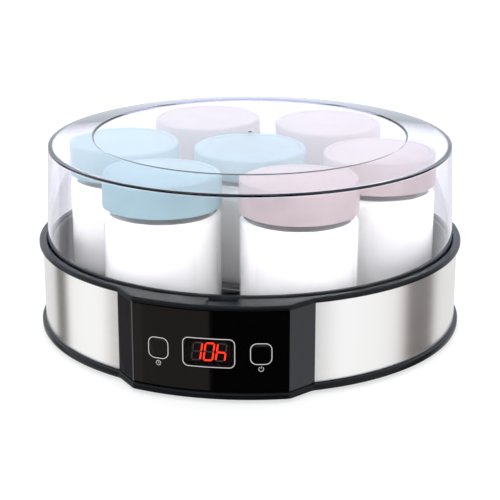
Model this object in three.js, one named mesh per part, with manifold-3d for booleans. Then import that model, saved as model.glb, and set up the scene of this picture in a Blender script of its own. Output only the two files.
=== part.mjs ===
// Seven-jar yogurt maker: a round heated base with a steel band and a control bay at the front,
// seven glass jars with coloured caps, and a clear lid that lifts straight off.
// Millimetres, +Z up, front towards -Y. The origin is on the table, under the middle of the
// base's outline; the round axis of the base is a little behind it, because the bay stands out.
import * as THREE from "three";
import { mergeVertices } from "three/addons/utils/BufferGeometryUtils.js";
import Module from "manifold-3d";

const wasm = await Module();
wasm.setup();

// ---- Driving dimensions ----
const GAP = 0.3; // clearance between neighbouring pieces
const WALL = 2; // moulded walls

// Base
const RIM_R = 124.8; // black rims above and below the band
const BAND_R = 122.6;
const BAND_THICKNESS = 0.5;
const LOWER_RIM_BOTTOM = 2;
const LOWER_RIM_TOP = 5.8;
const UPPER_RIM_BOTTOM = 51.8;
const UPPER_RIM_TOP = 54.5;
const PAN_FLOOR_BOTTOM = 3.2;
const DECK_TOP = 28; // the floor that the jars stand on
const TRAY_R = 113.6; // inside of the tray at its floor
const COLLAR_R = 117; // upstand inside the lid's foot
const COLLAR_TOP = 54.9;

// Control bay, in plan: a face round the base's axis, and two flat cheeks back to the band
const BAY_RIM_R = 132.7;
const PANEL_R = 131.5;
const PANEL_HALF_DEG = 18.7;
const CHEEK_ROOT_R = 123.3;
const CHEEK_ROOT_DEG = 25.4;
const CHEEK_OVERHANG = 1; // of the rims beyond the cheeks
const CONTROLS_Z = 27.8;
const BUTTON_DEG = 12.2;
const BUTTON_SIZE = 9.9;
const BUTTON_CORNER = 2.8;
const LENS = { width: 26.2, height: 14.4, corner: 2.4 };
const THUMB_RECESS = { width: 16, depth: 1.5, degrees: 2.8 };

// Lid
const LID_FOOT_R = 120;
const LID_SHOULDER_R = 116.9;
const LID_SHOULDER_Z = 110.2;
const LID_WALL = 2.4;
const LID_CREST_R = 92; // the fine crest round the flat top
const LID_CREST_Z = 114.2;
const LID_TOP = 114.8;

// Jars
const JAR_CIRCLE_R = 75.85; // six jars round the middle one
const JAR_R = 32.4;
const JAR_NECK_R = 29.6;
const WELL_DEPTH = 1; // each jar stands in a shallow well
const CAP_R = 32.8;
const CAP_BOTTOM = 88.7;
const CAP_TOP = 105.4;
const CAP_CEILING = CAP_TOP - 1.8;

// Heater, boards and fastenings
const PLATE_R = 98;
const PLATE_THICKNESS = 2;
const LOOP_R = 70;
const LOOP_TUBE_R = 2.4;
const LOOP_END_DEG = 75;
const BOARD_THICKNESS = 1.6;
const POWER_BOARD_BOTTOM = 11;
const CONTROL_BOARD_FRONT = -119.2;
const OUTLET = { z: 21, r: 5, flangeR: 6.4, bore: 3.3 };
const OUTLET_PLATE = { top: 38, halfDeg: 9, lip: 2, lipHalfDeg: 11 };
const POST_BOTTOM = 12.3;

const ROUND = 48; // segments of the large round pieces
const MEDIUM = 20; // segments of the jars and caps
const SMALL = 12; // segments of posts, feet and screws
const DEG = Math.PI / 180;

// ---- Worked-out dimensions ----
const SKIRT_OUT = BAND_R - BAND_THICKNESS - GAP;
const SKIRT_IN = SKIRT_OUT - WALL;
const SHELL_BOTTOM = LOWER_RIM_TOP + GAP;
const SHELL_TOP = UPPER_RIM_BOTTOM - GAP;
const GROOVE_OUT = LID_FOOT_R + 0.5;
const GROOVE_FLOOR = UPPER_RIM_TOP - 4.2;
const LID_BOTTOM = GROOVE_FLOOR + GAP;
const FLANGE_BOTTOM = GROOVE_FLOOR - WALL;
const TRAY_OUT = TRAY_R + 3;
const DECK_UNDER = DECK_TOP - 2.2;
const PAN_FLOOR_TOP = PAN_FLOOR_BOTTOM + WALL;
const PAN_UPSTAND_TOP = 12;
const JAR_BOTTOM = DECK_TOP - WELL_DEPTH + GAP;
const PLATE_TOP = DECK_UNDER - GAP;
const PLATE_BOTTOM = PLATE_TOP - PLATE_THICKNESS;
const FRAME_FRONT_R = PANEL_R - 1.3;
const FRAME_INSIDE_R = FRAME_FRONT_R - 1.8;
const FASCIA_BACK_R = FRAME_FRONT_R + GAP;
const FASCIA_HALF_DEG = PANEL_HALF_DEG - 0.3;
const BAY_OPENING_DEG = CHEEK_ROOT_DEG - 2.3;
const BAND_END_DEG = CHEEK_ROOT_DEG - 0.8;
const CONTROL_BOARD_BACK = CONTROL_BOARD_FRONT + BOARD_THICKNESS;
const POWER_BOARD_TOP = POWER_BOARD_BOTTOM + BOARD_THICKNESS;

// ---- Materials ----
const material = (color, roughness, metalness = 0, opacity = 1) =>
  new THREE.MeshStandardMaterial({
    color,
    roughness,
    metalness,
    opacity,
    transparent: opacity < 1,
  });
const CLEAR = material(0xdfe6f2, 0.05, 0, 0.25);
const GLASS = material(0xe8f0ee, 0.05, 0, 0.4);
const BLUE_CAP = material(0xb6dfea, 0.4);
const PINK_CAP = material(0xf0d4d3, 0.4);
const SATIN_BLACK = material(0x17191b, 0.35);
const BAY_GREY = material(0x34363c, 0.3);
const GLOSS_BLACK = material(0x060505, 0.08);
const SMOKED = material(0x100405, 0.06, 0, 0.7);
const STEEL = material(0xd8d4cf, 0.28, 1);
const ALUMINIUM = material(0xc9ccd0, 0.4, 1);
const SCREW_STEEL = material(0xa9abad, 0.35, 1);
const RUBBER = material(0x1b1b1b, 0.9);
const BOARD_GREEN = material(0x1c5b36, 0.5);
const BLACK_PLASTIC = material(0x202124, 0.5);
const RELAY_BLUE = material(0x2b5fa8, 0.4);
const CREAM = material(0xe9e3d2, 0.6);
const RED = material(0xb3201d, 0.5);
const GREY_RIBBON = material(0x8d9094, 0.6);

// ---- Shapes ----
const point = (x, y) => new THREE.Vector2(x, y);

const onCircle = (radius, degrees) =>
  point(radius * Math.cos(degrees * DEG), radius * Math.sin(degrees * DEG));

// A point in plan at an angle from the front, positive towards +X.
const fromFront = (radius, degrees) => onCircle(radius, degrees - 90);

// A closed solid from [radius, height] points turned round the Z axis.
function turned(profile, segments) {
  const points = profile.map(([r, z]) => point(r, z));
  if (profile[0][0] > 0) points.push(points[0].clone());
  if (THREE.ShapeUtils.area(points) < 0) points.reverse();
  return new THREE.LatheGeometry(points, segments).rotateX(Math.PI / 2);
}

const drum = (radius, bottom, top, segments = SMALL) =>
  turned([[0, bottom], [radius, bottom], [radius, top], [0, top]], segments);

const drumAt = ({ x, y }, radius, bottom, top, segments = SMALL) =>
  drum(radius, bottom, top, segments).translate(x, y, 0);

const block = ([x0, x1], [y0, y1], [z0, z1]) =>
  new THREE.BoxGeometry(x1 - x0, y1 - y0, z1 - z0).translate(
    (x0 + x1) / 2,
    (y0 + y1) / 2,
    (z0 + z1) / 2,
  );

const prism = (shape, bottom, top, curveSegments = 6) =>
  new THREE.ExtrudeGeometry(shape, {
    depth: top - bottom,
    bevelEnabled: false,
    curveSegments,
  }).translate(0, 0, bottom);

// Turns what stands along +Z so that it points out of the front at an angle and a height.
const outOfFront = (geometry, degrees = 0, z = 0) =>
  geometry
    .rotateX(Math.PI / 2)
    .rotateZ(degrees * DEG)
    .translate(0, 0, z);

// A prism through the control panel, with the shape upright and facing out of the panel.
const panelPrism = (shape, innerR, outerR, degrees) =>
  outOfFront(prism(shape, innerR, outerR, 2), degrees, CONTROLS_Z);

function roundedRectangle(width, height, corner) {
  const x = width / 2 - corner;
  const y = height / 2 - corner;
  const shape = new THREE.Shape();
  shape.absarc(x, y, corner, 0, Math.PI / 2);
  shape.absarc(-x, y, corner, Math.PI / 2, Math.PI);
  shape.absarc(-x, -y, corner, Math.PI, 1.5 * Math.PI);
  shape.absarc(x, -y, corner, 1.5 * Math.PI, 2 * Math.PI);
  return shape;
}

// A stretch of a ring in plan, between two angles from the front.
function sectorShape(innerR, outerR, fromDeg, toDeg) {
  const start = (fromDeg - 90) * DEG;
  const end = (toDeg - 90) * DEG;
  const shape = new THREE.Shape();
  shape.absarc(0, 0, outerR, start, end, false);
  shape.absarc(0, 0, innerR, end, start, true);
  return shape;
}

// The control bay in plan, out to faceR and back to backR, with its cheeks moved in by an inset.
function bayShape(faceR, backR, inset) {
  const corner = fromFront(PANEL_R, PANEL_HALF_DEG);
  const root = fromFront(CHEEK_ROOT_R, CHEEK_ROOT_DEG);
  const along = root.clone().sub(corner).normalize();
  const start = corner.clone().addScaledVector(point(-along.y, along.x), inset);
  const lean = start.dot(along);
  const angleWhereCheekMeets = (radius) => {
    const distance = -lean - Math.sqrt(lean ** 2 - start.lengthSq() + radius ** 2);
    return start.clone().addScaledVector(along, distance).angle();
  };
  const face = angleWhereCheekMeets(faceR);
  const back = angleWhereCheekMeets(backR);
  const mirrored = (angle) => 3 * Math.PI - angle;
  const shape = new THREE.Shape();
  shape.absarc(0, 0, faceR, mirrored(face), face, false);
  shape.absarc(0, 0, backR, back, mirrored(back), true);
  return shape;
}

// A round wire or tube along a smooth path.
function wire(path, radius, steps, sides) {
  const section = new THREE.Shape().absarc(0, 0, radius, 0, 2 * Math.PI);
  return new THREE.ExtrudeGeometry(section, {
    steps,
    curveSegments: sides / 2,
    bevelEnabled: false,
    extrudePath: path,
  });
}

// ---- Joining and cutting ----
function solid(geometry) {
  const bare = geometry.clone();
  bare.deleteAttribute("normal");
  bare.deleteAttribute("uv");
  const merged = mergeVertices(bare, 1e-4);
  return new wasm.Manifold(
    new wasm.Mesh({
      numProp: 3,
      vertProperties: merged.getAttribute("position").array,
      triVerts: new Uint32Array(merged.index.array),
    }),
  );
}

function built(body, { add = [], cut = [], keep = [] }) {
  let made = solid(body);
  for (const geometry of add) made = made.add(solid(geometry));
  for (const geometry of cut) made = made.subtract(solid(geometry));
  for (const geometry of keep) made = made.intersect(solid(geometry));
  const mesh = made.getMesh();
  const positions = new THREE.BufferAttribute(new Float32Array(mesh.vertProperties), 3);
  return new THREE.BufferGeometry()
    .setAttribute("position", positions)
    .setIndex(new THREE.BufferAttribute(new Uint32Array(mesh.triVerts), 1));
}

// ---- Places ----
const JARS = [
  { place: "center", at: point(0, 0), cap: BLUE_CAP },
  { place: "right", at: onCircle(JAR_CIRCLE_R, 0), cap: PINK_CAP },
  { place: "back_right", at: onCircle(JAR_CIRCLE_R, 60), cap: PINK_CAP },
  { place: "back_left", at: onCircle(JAR_CIRCLE_R, 120), cap: PINK_CAP },
  { place: "left", at: onCircle(JAR_CIRCLE_R, 180), cap: BLUE_CAP },
  { place: "front_left", at: onCircle(JAR_CIRCLE_R, 240), cap: BLUE_CAP },
  { place: "front_right", at: onCircle(JAR_CIRCLE_R, 300), cap: PINK_CAP },
];
const FEET = [45, 135, 225, 315].map((degrees) => onCircle(100, degrees));
const HOUSING_SCREWS = [20, 160, 200, 340].map((degrees) => onCircle(104, degrees));
const PLATE_SCREWS = [90, 210, 330].map((degrees) => onCircle(45, degrees));
const POWER_BOARD_SCREWS = [point(-28, 49), point(28, 20)];
const CONTROL_BOARD_SCREW_X = 37;
const SIDES = [
  { side: -1, name: "left" },
  { side: 1, name: "right" },
];

// ---- Lid ----
function clearLid() {
  const inside = LID_SHOULDER_R - LID_WALL;
  return turned(
    [
      [LID_FOOT_R - WALL, LID_BOTTOM],
      [LID_FOOT_R, LID_BOTTOM],
      [LID_SHOULDER_R + 0.95, LID_SHOULDER_Z - 3],
      [LID_SHOULDER_R + 0.7, LID_SHOULDER_Z - 1],
      [LID_SHOULDER_R, LID_SHOULDER_Z],
      [LID_CREST_R, LID_CREST_Z],
      [LID_CREST_R - 0.9, LID_CREST_Z - 0.8],
      [0, LID_TOP],
      [0, LID_TOP - WALL],
      [LID_CREST_R, LID_CREST_Z - WALL],
      [inside, LID_SHOULDER_Z - WALL],
      [inside + 0.5, LID_SHOULDER_Z - 3],
    ],
    ROUND,
  );
}

// ---- Jars ----
function jar() {
  const base = JAR_BOTTOM;
  const shoulder = CAP_BOTTOM - 5.5;
  const glass = 2.5;
  return turned(
    [
      [0, base],
      [JAR_R - 2, base],
      [JAR_R, base + 2],
      [JAR_R, shoulder],
      [JAR_NECK_R, shoulder + 4],
      [JAR_NECK_R, CAP_CEILING - GAP],
      [JAR_NECK_R - glass, CAP_CEILING - GAP],
      [JAR_NECK_R - glass, shoulder + 3.4],
      [JAR_R - glass, shoulder - 1],
      [JAR_R - glass, base + 6],
      [JAR_R - glass - 2.5, base + 4],
      [0, base + 4],
    ],
    MEDIUM,
  );
}

function jarCap() {
  const bore = CAP_R - 2.3;
  return turned(
    [
      [0, CAP_CEILING],
      [bore, CAP_CEILING],
      [bore, CAP_BOTTOM],
      [CAP_R, CAP_BOTTOM],
      [CAP_R, CAP_TOP - 1.2],
      [CAP_R - 1.2, CAP_TOP],
      [0, CAP_TOP],
    ],
    MEDIUM,
  );
}

// ---- Base ----

// The floor and wall round the jars, with the collar that centres the lid.
function jarTray() {
  const flangeR = SKIRT_IN - GAP;
  const tray = turned(
    [
      [0, DECK_UNDER],
      [TRAY_OUT, DECK_UNDER],
      [TRAY_OUT, FLANGE_BOTTOM],
      [flangeR, FLANGE_BOTTOM],
      [flangeR, GROOVE_FLOOR],
      [COLLAR_R, GROOVE_FLOOR],
      [COLLAR_R, COLLAR_TOP - 0.5],
      [COLLAR_R - 0.5, COLLAR_TOP],
      [TRAY_R + 1.2, COLLAR_TOP],
      [TRAY_R, DECK_TOP],
      [0, DECK_TOP],
    ],
    ROUND,
  );
  const posts = HOUSING_SCREWS.map((at) => drumAt(at, 3.6, POST_BOTTOM, DECK_UNDER + 1));
  const bosses = PLATE_SCREWS.map((at) => drumAt(at, 3.2, PLATE_BOTTOM, DECK_UNDER + 1));
  const postPilots = HOUSING_SCREWS.map((at) => drumAt(at, 1.8, POST_BOTTOM - 1, 22, 8));
  const bossPilots = PLATE_SCREWS.map((at) => drumAt(at, 1.5, PLATE_BOTTOM - 1, DECK_UNDER + 1, 8));
  const wells = JARS.map(({ at }) =>
    drumAt(at, JAR_R + 1, DECK_TOP - WELL_DEPTH, DECK_TOP + 1, MEDIUM),
  );
  return built(tray, { add: [...posts, ...bosses], cut: [...postPilots, ...bossPilots, ...wells] });
}

// A round hole through the back of the base for the cord's bush.
const outletHole = () => outOfFront(drum(OUTLET.r + GAP, 118, 126), 180, OUTLET.z);

// The upper rim, the bay's top and the skirt that backs the steel band. At the back the skirt
// has a window, open below, for the outlet plate.
function housingRing() {
  const ledgeTop = FLANGE_BOTTOM - GAP;
  const ledgeR = TRAY_OUT + 2 * GAP;
  const ring = turned(
    [
      [SKIRT_IN, SHELL_BOTTOM],
      [SKIRT_OUT, SHELL_BOTTOM],
      [SKIRT_OUT, UPPER_RIM_BOTTOM],
      [RIM_R - 0.5, UPPER_RIM_BOTTOM],
      [RIM_R, UPPER_RIM_BOTTOM + 0.5],
      [RIM_R, UPPER_RIM_TOP - 0.7],
      [RIM_R - 0.7, UPPER_RIM_TOP],
      [GROOVE_OUT, UPPER_RIM_TOP],
      [GROOVE_OUT, GROOVE_FLOOR],
      [SKIRT_IN, GROOVE_FLOOR],
      [SKIRT_IN, ledgeTop],
      [ledgeR, ledgeTop],
      [ledgeR, ledgeTop - 1.6],
      [SKIRT_IN, ledgeTop - 3.6],
    ],
    ROUND,
  );
  const bayTop = prism(
    bayShape(BAY_RIM_R, GROOVE_OUT + 1, -CHEEK_OVERHANG),
    UPPER_RIM_BOTTOM,
    UPPER_RIM_TOP,
  );
  const bayOpening = prism(
    sectorShape(SKIRT_IN - 1, SKIRT_OUT + 0.2, -BAY_OPENING_DEG, BAY_OPENING_DEG),
    SHELL_BOTTOM - 1,
    ledgeTop - 4,
  );
  const plateWindow = prism(
    sectorShape(
      SKIRT_IN - 1,
      SKIRT_OUT + 0.2,
      180 - OUTLET_PLATE.halfDeg,
      180 + OUTLET_PLATE.halfDeg,
    ),
    SHELL_BOTTOM - 1,
    OUTLET_PLATE.top,
  );
  const { width, depth, degrees } = THUMB_RECESS;
  const recess = block(
    [-width / 2, width / 2],
    [-BAY_RIM_R + 1.6, -GROOVE_OUT + 1],
    [UPPER_RIM_TOP - depth, UPPER_RIM_TOP + 1],
  ).rotateZ(degrees * DEG);
  return built(ring, { add: [bayTop], cut: [bayOpening, recess, plateWindow] });
}

// The plate that the cord's bush clamps to the band. Its lip overlaps the skirt from inside.
function outletPlate() {
  const { top, halfDeg, lip, lipHalfDeg } = OUTLET_PLATE;
  const sideDeg = halfDeg - 0.15;
  const lipR = SKIRT_IN - GAP;
  const lipBottom = PAN_UPSTAND_TOP + GAP;
  const stretch = (innerR, outerR, half, bottom, height) =>
    prism(sectorShape(innerR, outerR, 180 - half, 180 + half), bottom, height, 4);
  const flangeSeat = drum(OUTLET.flangeR + GAP, lipR - lip - 1, SKIRT_IN);
  return built(stretch(SKIRT_IN, SKIRT_OUT, sideDeg, SHELL_BOTTOM, top - GAP), {
    add: [
      stretch(lipR - lip, SKIRT_IN + 0.1, sideDeg, lipBottom, top - GAP),
      stretch(lipR - lip, lipR, lipHalfDeg, lipBottom, top + 3),
    ],
    cut: [outletHole(), outOfFront(flangeSeat, 180, OUTLET.z)],
  });
}

function steelBand() {
  const shape = sectorShape(BAND_R - BAND_THICKNESS, BAND_R, BAND_END_DEG, 360 - BAND_END_DEG);
  return built(prism(shape, SHELL_BOTTOM, SHELL_TOP, 21), { cut: [outletHole()] });
}

// The bottom pan is the lower rim too. It takes the feet, the screws and the power board.
function bottomPan() {
  const upstandR = SKIRT_IN - GAP;
  const pan = turned(
    [
      [0, PAN_FLOOR_BOTTOM],
      [RIM_R - 5, PAN_FLOOR_BOTTOM],
      [RIM_R - 4.4, LOWER_RIM_BOTTOM],
      [RIM_R - 0.8, LOWER_RIM_BOTTOM],
      [RIM_R, LOWER_RIM_BOTTOM + 0.8],
      [RIM_R, LOWER_RIM_TOP - 0.5],
      [RIM_R - 0.5, LOWER_RIM_TOP],
      [upstandR, LOWER_RIM_TOP],
      [upstandR, PAN_UPSTAND_TOP],
      [upstandR - 1.7, PAN_UPSTAND_TOP],
      [upstandR - 1.7, PAN_FLOOR_TOP],
      [0, PAN_FLOOR_TOP],
    ],
    ROUND,
  );
  const bayFoot = prism(
    bayShape(BAY_RIM_R, RIM_R - 3.4, -CHEEK_OVERHANG),
    LOWER_RIM_BOTTOM,
    LOWER_RIM_TOP,
  );
  const bayOpening = prism(
    sectorShape(upstandR - 3, upstandR + 0.1, -BAY_OPENING_DEG, BAY_OPENING_DEG),
    LOWER_RIM_TOP,
    PAN_UPSTAND_TOP + 1,
  );
  const bosses = HOUSING_SCREWS.map((at) =>
    drumAt(at, 5.2, PAN_FLOOR_TOP - 1, POST_BOTTOM - GAP),
  );
  const standoffs = POWER_BOARD_SCREWS.map((at) =>
    drumAt(at, 3.2, PAN_FLOOR_TOP - 1, POWER_BOARD_BOTTOM - GAP),
  );
  const screwHoles = HOUSING_SCREWS.flatMap((at) => [
    drumAt(at, 1.8, 0, POST_BOTTOM, 8),
    drumAt(at, 3.4, 0, 9),
  ]);
  const pilots = POWER_BOARD_SCREWS.map((at) => drumAt(at, 1.3, 6, POWER_BOARD_BOTTOM, 8));
  const pegHoles = FEET.map((at) => drumAt(at, 2.3, 0, PAN_FLOOR_TOP + 1, 8));
  const vents = [-36, -27, -18, 18, 27, 36].map((x) =>
    prism(roundedRectangle(3, 26, 1.4), 0, PAN_FLOOR_TOP + 1, 1).translate(x, -40, 0),
  );
  return built(pan, {
    add: [bayFoot, ...bosses, ...standoffs],
    cut: [bayOpening, ...screwHoles, ...pilots, ...pegHoles, ...vents],
  });
}

// A rubber foot whose peg is pulled up through the pan's floor.
const foot = (at) =>
  turned(
    [
      [0, 0],
      [7.2, 0],
      [8, 0.8],
      [8, PAN_FLOOR_BOTTOM - GAP],
      [2, PAN_FLOOR_BOTTOM - GAP],
      [2, PAN_FLOOR_TOP + 1],
      [0, PAN_FLOOR_TOP + 1],
    ],
    SMALL,
  ).translate(at.x, at.y, 0);

// A screw that points up, with the underside of its head at z = 0.
const screw = (headR, headHeight, shankR, length) =>
  turned(
    [
      [0, -headHeight],
      [headR, -headHeight],
      [headR, 0],
      [shankR, 0],
      [shankR, length],
      [0, length],
    ],
    8,
  );

// The bush in the back wall. The mains cord isn't part of this model.
const cordBush = () =>
  outOfFront(
    turned(
      [
        [OUTLET.bore, SKIRT_IN - 2.2],
        [OUTLET.flangeR, SKIRT_IN - 2.2],
        [OUTLET.flangeR, SKIRT_IN - 0.5],
        [OUTLET.r, SKIRT_IN - 0.5],
        [OUTLET.r, BAND_R + GAP],
        [OUTLET.flangeR, BAND_R + GAP],
        [OUTLET.flangeR - 0.4, BAND_R + 1.6],
        [OUTLET.bore, BAND_R + 1.6],
      ],
      SMALL,
    ),
    180,
    OUTLET.z,
  );

// ---- Heater ----
const heaterPlate = () =>
  built(drum(PLATE_R, PLATE_BOTTOM, PLATE_TOP, 36), {
    cut: PLATE_SCREWS.map((at) => drumAt(at, 3.2 + GAP, PLATE_BOTTOM - 1, PLATE_TOP + 1)),
  });

const LOOP_Z = PLATE_BOTTOM - GAP - LOOP_TUBE_R;

// An open ring of sheathed element, with its two ends at the back.
class LoopPath extends THREE.Curve {
  getPoint(t) {
    const angle = (LOOP_END_DEG - t * (2 * LOOP_END_DEG + 180)) * DEG;
    return new THREE.Vector3(LOOP_R * Math.cos(angle), LOOP_R * Math.sin(angle), LOOP_Z);
  }
}
const heaterLoop = () => wire(new LoopPath(), LOOP_TUBE_R, 30, 6);

function heaterLead(side) {
  const end = onCircle(LOOP_R, LOOP_END_DEG);
  const points = [
    [end.x - 0.4, end.y + 0.1, LOOP_Z],
    [end.x - 4, end.y + 0.6, LOOP_Z - 0.5],
    [12, 61, 17],
    [14, 50, 16],
    [14.5, 48.5, POWER_BOARD_TOP + GAP],
  ].map(([x, y, z]) => new THREE.Vector3(side * x, y, z));
  return wire(new THREE.CatmullRomCurve3(points), 0.9, 12, 6);
}

// ---- Control bay ----
const buttonHole = (clearance) =>
  roundedRectangle(
    BUTTON_SIZE + 2 * clearance,
    BUTTON_SIZE + 2 * clearance,
    BUTTON_CORNER + clearance,
  );

const lensShape = (clearance) =>
  roundedRectangle(
    LENS.width + 2 * clearance,
    LENS.height + 2 * clearance,
    LENS.corner + clearance,
  );

const buttonHoles = (clearance) =>
  SIDES.map(({ side }) => panelPrism(buttonHole(clearance), 122, 140, side * BUTTON_DEG));

// Cheeks and a curved front wall, open at the back and clamped between the two rims.
function panelFrame() {
  const frame = prism(bayShape(PANEL_R, BAND_R + GAP, 0), SHELL_BOTTOM, SHELL_TOP);
  const inside = prism(bayShape(FRAME_INSIDE_R, 118, WALL), SHELL_BOTTOM - 1, SHELL_TOP + 1);
  const seatDeg = FASCIA_HALF_DEG + 0.15;
  const fasciaSeat = prism(
    sectorShape(FRAME_FRONT_R, PANEL_R + 2, -seatDeg, seatDeg),
    SHELL_BOTTOM - 1,
    SHELL_TOP + 1,
  );
  const postEnd = CONTROL_BOARD_FRONT - GAP;
  const posts = SIDES.map(({ side }) =>
    block([-2.4, 2.4], [-124.3, postEnd], [21, 26]).translate(side * CONTROL_BOARD_SCREW_X, 0, 0),
  );
  const pilots = SIDES.map(({ side }) =>
    outOfFront(drum(1.2, -postEnd - 1, -postEnd + 3.4, 8)).translate(
      side * CONTROL_BOARD_SCREW_X,
      0,
      23.5,
    ),
  );
  const body = built(frame, { cut: [inside, fasciaSeat] });
  return built(body, {
    add: posts,
    cut: [...pilots, ...buttonHoles(GAP), panelPrism(lensShape(-0.8), 122, 140, 0)],
  });
}

const fasciaSheet = (outerR) =>
  prism(
    sectorShape(FASCIA_BACK_R, outerR, -FASCIA_HALF_DEG, FASCIA_HALF_DEG),
    SHELL_BOTTOM + GAP,
    SHELL_TOP - GAP,
    6,
  );

const controlFascia = () =>
  built(fasciaSheet(PANEL_R), {
    cut: [...buttonHoles(GAP), panelPrism(lensShape(GAP), 122, 140, 0)],
  });

const displayLens = () =>
  built(fasciaSheet(PANEL_R - 0.1), { keep: [panelPrism(lensShape(0), 122, 140, 0)] });

// A button: its face is flush with the fascia, and a flange behind the frame keeps it in.
function button(degrees) {
  const flangeFront = FRAME_INSIDE_R - 0.5;
  const flangeShape = roundedRectangle(BUTTON_SIZE + 2.4, BUTTON_SIZE + 2.4, BUTTON_CORNER);
  const stemShape = roundedRectangle(4, 4, 1);
  return built(panelPrism(buttonHole(0), flangeFront - 0.5, PANEL_R - 0.15, degrees), {
    add: [
      panelPrism(flangeShape, flangeFront - 0.9, flangeFront, degrees),
      panelPrism(stemShape, flangeFront - 1.7, flangeFront - 0.5, degrees),
    ],
  });
}

const tactSwitch = (side) =>
  block(
    [side * 25.5 - 3, side * 25.5 + 3],
    [CONTROL_BOARD_FRONT - 2.6, CONTROL_BOARD_FRONT - GAP],
    [CONTROLS_Z - 3, CONTROLS_Z + 3],
  );

// The module's nose reaches through the frame's window to just behind the lens.
const displayModule = () =>
  built(
    block([-14.5, 14.5], [-126.9, CONTROL_BOARD_FRONT - GAP], [CONTROLS_Z - 8, CONTROLS_Z + 8]),
    { add: [block([-11.7, 11.7], [-129.6, -126], [CONTROLS_Z - 5.8, CONTROLS_Z + 5.8])] },
  );

const controlBoard = () =>
  built(block([-41, 41], [CONTROL_BOARD_FRONT, CONTROL_BOARD_BACK], [13, 42.5]), {
    cut: SIDES.map(({ side }) =>
      outOfFront(drum(1.3, 116, 121, 8)).translate(side * CONTROL_BOARD_SCREW_X, 0, 23.5),
    ),
  });

// ---- Power board ----
const powerBoard = () =>
  built(block([-32, 32], [16, 53], [POWER_BOARD_BOTTOM, POWER_BOARD_TOP]), {
    cut: POWER_BOARD_SCREWS.map((at) => drumAt(at, 1.4, 10, 14, 8)),
  });

const onPowerBoard = ([x0, x1], [y0, y1], height) => {
  const bottom = POWER_BOARD_TOP + GAP;
  return block([x0, x1], [y0, y1], [bottom, bottom + height]);
};

// A flat cable under the tray, from the power board up to the control board.
function ribbonCable() {
  const across = [-7, 7];
  const thickness = 0.8;
  const low = 8;
  const high = POWER_BOARD_TOP + GAP;
  const front = CONTROL_BOARD_FRONT + 0.4;
  return built(block(across, [front, 14], [low, low + thickness]), {
    add: [
      block(across, [front, front + thickness], [low, 13 - GAP]),
      block(across, [14 - thickness, 14], [low, high + thickness]),
      block(across, [14 - thickness, 20], [high, high + thickness]),
    ],
  });
}

// ---- Assembly ----
const yogurtMaker = new THREE.Group();
const roundAxis = new THREE.Group();
roundAxis.position.y = (BAY_RIM_R - RIM_R) / 2;
yogurtMaker.add(roundAxis);

function place(name, geometry, finish) {
  const mesh = new THREE.Mesh(geometry, finish);
  mesh.name = name;
  roundAxis.add(mesh);
  return mesh;
}

place("clear_lid", clearLid(), CLEAR);
for (const { place: where, at, cap } of JARS) {
  place(`jar_${where}`, jar(), GLASS).position.set(at.x, at.y, 0);
  place(`cap_${where}`, jarCap(), cap).position.set(at.x, at.y, 0);
}

place("jar_tray", jarTray(), SATIN_BLACK);
place("housing_ring", housingRing(), SATIN_BLACK);
place("outlet_plate", outletPlate(), BLACK_PLASTIC);
place("steel_band", steelBand(), STEEL);
place("bottom_pan", bottomPan(), SATIN_BLACK);
place("cord_bush", cordBush(), RUBBER);
FEET.forEach((at, i) => place(`foot_${i + 1}`, foot(at), RUBBER));
HOUSING_SCREWS.forEach((at, i) => {
  const geometry = screw(3, 2.4, 1.5, 11);
  place(`housing_screw_${i + 1}`, geometry, SCREW_STEEL).position.set(at.x, at.y, 9 - GAP);
});

place("heater_plate", heaterPlate(), ALUMINIUM);
place("heater_loop", heaterLoop(), ALUMINIUM);
PLATE_SCREWS.forEach((at, i) => {
  const geometry = screw(5, 1.5, 1.2, 3);
  const head = PLATE_BOTTOM - GAP;
  place(`heater_screw_${i + 1}`, geometry, SCREW_STEEL).position.set(at.x, at.y, head);
});
place("temperature_sensor", drum(2, PLATE_BOTTOM - 5, PLATE_BOTTOM - GAP), CREAM);
const fuse = place("thermal_fuse", drum(1.9, -6, 6).rotateY(Math.PI / 2), CREAM);
fuse.position.set(16, -22, PLATE_BOTTOM - GAP - 1.9);

place("power_board", powerBoard(), BOARD_GREEN);
place("relay", onPowerBoard([-26, -9], [24, 44], 9.6), RELAY_BLUE);
place("film_capacitor", onPowerBoard([10, 27], [36, 43], 9), CREAM);
place("mains_terminal", onPowerBoard([-6, 6], [44, 52], 7), BLACK_PLASTIC);
POWER_BOARD_SCREWS.forEach((at, i) => {
  const mesh = place(`power_board_screw_${i + 1}`, screw(2.4, 1.6, 1, 5), SCREW_STEEL);
  mesh.rotation.x = Math.PI;
  mesh.position.set(at.x, at.y, POWER_BOARD_TOP + GAP);
});
SIDES.forEach(({ side, name }) => place(`heater_lead_${name}`, heaterLead(side), RED));
place("ribbon_cable", ribbonCable(), GREY_RIBBON);

place("panel_frame", panelFrame(), BAY_GREY);
place("control_fascia", controlFascia(), GLOSS_BLACK);
place("display_lens", displayLens(), SMOKED);
place("display_module", displayModule(), BLACK_PLASTIC);
place("control_board", controlBoard(), BOARD_GREEN);
place("time_button", button(-BUTTON_DEG), GLOSS_BLACK);
place("power_button", button(BUTTON_DEG), GLOSS_BLACK);
place("time_switch", tactSwitch(-1), BLACK_PLASTIC);
place("power_switch", tactSwitch(1), BLACK_PLASTIC);
SIDES.forEach(({ side, name }) => {
  const mesh = place(`control_board_screw_${name}`, screw(2.2, 1.6, 0.9, 4.4), SCREW_STEEL);
  mesh.rotation.x = Math.PI / 2;
  mesh.position.set(side * CONTROL_BOARD_SCREW_X, CONTROL_BOARD_BACK + GAP, 23.5);
});

export default yogurtMaker;
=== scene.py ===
"""Looks of the seven-jar yogurt maker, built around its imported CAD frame.

Outlines are in millimetres, as [distance from the round axis, height], and every size in them
comes from the boxes of the CAD nodes. Angles are in degrees from the front, positive towards +X.
"""
import math

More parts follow.
